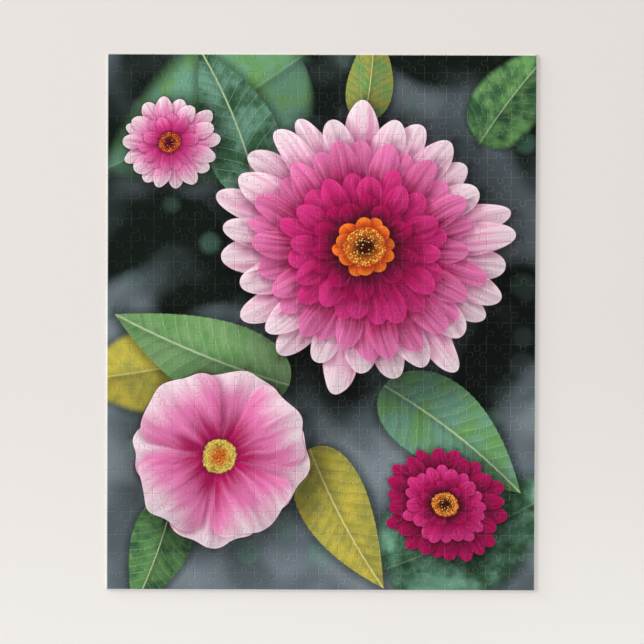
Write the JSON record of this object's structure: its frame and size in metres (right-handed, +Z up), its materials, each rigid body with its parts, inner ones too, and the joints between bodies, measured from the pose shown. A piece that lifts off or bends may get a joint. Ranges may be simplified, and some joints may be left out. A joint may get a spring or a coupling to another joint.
{
  "type": "jigsaw puzzle",
  "caption": "Rectangular jigsaw puzzle, put together and lying flat, printed face up, cut into interlocking knobbed pieces with a straight border",
  "frame": {"origin": "middle of the underside, on the surface that the puzzle lies on", "axes": "+Z up out of the printed face, +Y along the long side to the picture's top edge, +X along the short side to the picture's right"},
  "size_m": [0.4064, 0.508, 0.002],
  "materials": {
    "printed_board": "satin printed paper face on grey chipboard"
  },
  "bodies": {
    "root": {"section_01_1": "printed_board", "section_01_2": "printed_board", "section_01_3": "printed_board", "section_01_4": "printed_board", "section_02_1": "printed_board", "section_02_2": "printed_board", "section_02_3": "printed_board", "section_02_4": "printed_board", "section_03_1": "printed_board", "section_03_2": "printed_board", "section_03_3": "printed_board", "section_03_4": "printed_board", "section_04_1": "printed_board", "section_04_2": "printed_board", "section_04_3": "printed_board", "section_04_4": "printed_board", "section_05_1": "printed_board", "section_05_2": "printed_board", "section_05_3": "printed_board", "section_05_4": "printed_board", "section_06_1": "printed_board", "section_06_2": "printed_board", "section_06_3": "printed_board", "section_06_4": "printed_board", "section_07_1": "printed_board", "section_07_2": "printed_board", "section_07_3": "printed_board", "section_07_4": "printed_board", "section_08_1": "printed_board", "section_08_2": "printed_board", "section_08_3": "printed_board", "section_08_4": "printed_board", "section_09_1": "printed_board", "section_09_2": "printed_board", "section_09_3": "printed_board", "section_09_4": "printed_board", "section_10_1": "printed_board", "section_10_2": "printed_board", "section_10_3": "printed_board", "section_10_4": "printed_board", "section_11_1": "printed_board", "section_11_2": "printed_board", "section_11_3": "printed_board", "section_11_4": "printed_board", "section_12_1": "printed_board", "section_12_2": "printed_board", "section_12_3": "printed_board", "section_12_4": "printed_board", "section_13_1": "printed_board", "section_13_2": "printed_board", "section_13_3": "printed_board", "section_13_4": "printed_board"}
  },
  "joints": []
}
